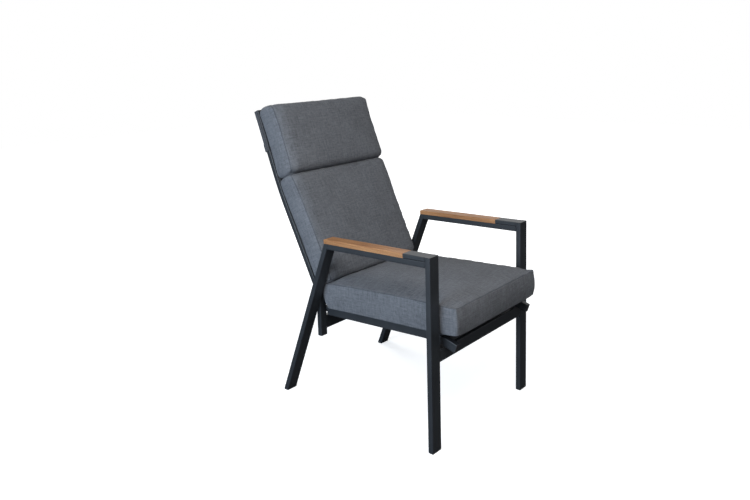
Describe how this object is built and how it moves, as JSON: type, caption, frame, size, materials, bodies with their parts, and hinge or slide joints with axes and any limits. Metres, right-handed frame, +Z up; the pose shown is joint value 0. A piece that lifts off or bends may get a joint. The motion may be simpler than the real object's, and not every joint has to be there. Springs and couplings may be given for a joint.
{
  "type": "reclining garden armchair",
  "caption": "Reclining garden armchair with a metal tube frame, teak arm pads, thick seat and back cushions, a gas spring under the seat and a release handle.",
  "frame": {"origin": "on the floor, under the middle of the chair's bounding box", "axes": "+X to the sitter's left, +Y rearward, +Z up"},
  "size_m": [0.58, 0.9402, 1.0884],
  "materials": {
    "anthracite_powder_coat": "fine-textured powder coat",
    "teak": "oiled, fine straight grain along the arm",
    "cushion_fabric": "plain weave acrylic",
    "hood_fabric": "plain weave acrylic",
    "sling_mesh": "woven coated mesh",
    "black_nylon": "moulded, fine grain",
    "stainless": "turned and brushed",
    "black_bolts": "black coated screw heads",
    "rod_steel": "hard chromed and polished"
  },
  "bodies": {
    "base": {"arm_pad_left": "teak", "arm_pad_right": "teak", "arm_pad_screws": "stainless", "arm_rail_left": "anthracite_powder_coat", "arm_rail_right": "anthracite_powder_coat", "arm_raised_front_left": "anthracite_powder_coat", "arm_raised_front_right": "anthracite_powder_coat", "axle": "stainless", "axle_bolts": "black_bolts", "front_beam": "anthracite_powder_coat", "front_feet": "black_nylon", "front_leg_left": "anthracite_powder_coat", "front_leg_right": "anthracite_powder_coat", "rear_feet": "black_nylon", "rear_leg_left": "anthracite_powder_coat", "rear_leg_right": "anthracite_powder_coat", "seat_glides": "black_nylon"},
    "back": {"back_cushion": "cushion_fabric", "back_rail_left": "anthracite_powder_coat", "back_rail_right": "anthracite_powder_coat", "back_sling": "sling_mesh", "back_top_caps": "black_nylon", "cushion_hood": "hood_fabric", "eye_bolt": "stainless", "eye_bracket": "anthracite_powder_coat", "hinge_bolts": "stainless", "hinge_inserts": "stainless", "lower_cross_tube": "anthracite_powder_coat", "lumbar_cross_tube": "anthracite_powder_coat", "pivot_bushes": "black_nylon", "stub_caps": "black_nylon", "top_cross_tube": "anthracite_powder_coat"},
    "seat": {"bearing_plate": "black_nylon", "fork_bolts": "stainless", "fork_plates": "anthracite_powder_coat", "hinge_plate_left": "anthracite_powder_coat", "hinge_plate_right": "anthracite_powder_coat", "hinge_washers": "black_nylon", "seat_cushion": "cushion_fabric", "seat_front_tube": "anthracite_powder_coat", "seat_middle_tube": "anthracite_powder_coat", "seat_rail_caps": "black_nylon", "seat_rail_left": "anthracite_powder_coat", "seat_rail_right": "anthracite_powder_coat", "seat_rear_tube": "anthracite_powder_coat", "seat_sling": "sling_mesh"},
    "spring_rod": {"gas_piston": "stainless", "gas_rod": "rod_steel", "release_head": "anthracite_powder_coat"},
    "spring_cylinder": {"gas_cylinder": "anthracite_powder_coat", "gas_end_eye": "anthracite_powder_coat", "gas_gland": "black_nylon"},
    "release_lever": {"release_bar": "anthracite_powder_coat", "release_grip": "black_nylon"},
    "valve_pin": {"release_pin": "stainless"}
  },
  "joints": [
    {"name": "recline", "type": "hinge", "parent": "base", "child": "back", "pos_m": [0, 0.15225, 0.371], "axis": [-1, 0, 0], "range_deg": [0, 30]},
    {"name": "seat_pivot", "type": "hinge", "parent": "back", "child": "seat", "pos_m": [0, 0.15225, 0.336], "axis": [-1, 0, 0], "range_deg": [-31, 0]},
    {"name": "spring_swing", "type": "hinge", "parent": "seat", "child": "spring_rod", "pos_m": [0, -0.14525, 0.31702], "axis": [1, 0, 0], "range_deg": [0, 3.4]},
    {"name": "spring_stroke", "type": "slide", "parent": "spring_rod", "child": "spring_cylinder", "axis": [0, 0.9905, -0.1372], "range_m": [-0.029, 0]},
    {"name": "release", "type": "hinge", "parent": "seat", "child": "release_lever", "pos_m": [0, -0.14029, 0.29034], "axis": [-1, 0, 0], "range_deg": [0, 6.5], "stiffness_Nm_per_rad": 0.6, "springref_deg": -17.19},
    {"name": "valve_stroke", "type": "slide", "parent": "spring_rod", "child": "valve_pin", "axis": [0, 0.9905, -0.1372], "range_m": [0, 0.003]}
  ],
  "couplings": [
    {"joint": "seat_pivot", "follows": "recline", "ratio": -1.02},
    {"joint": "spring_swing", "follows": "recline", "ratio": 0.1099},
    {"joint": "spring_stroke", "follows": "recline", "m_per_rad": -0.05456},
    {"joint": "valve_stroke", "follows": "release", "m_per_rad": 0.0257}
  ]
}
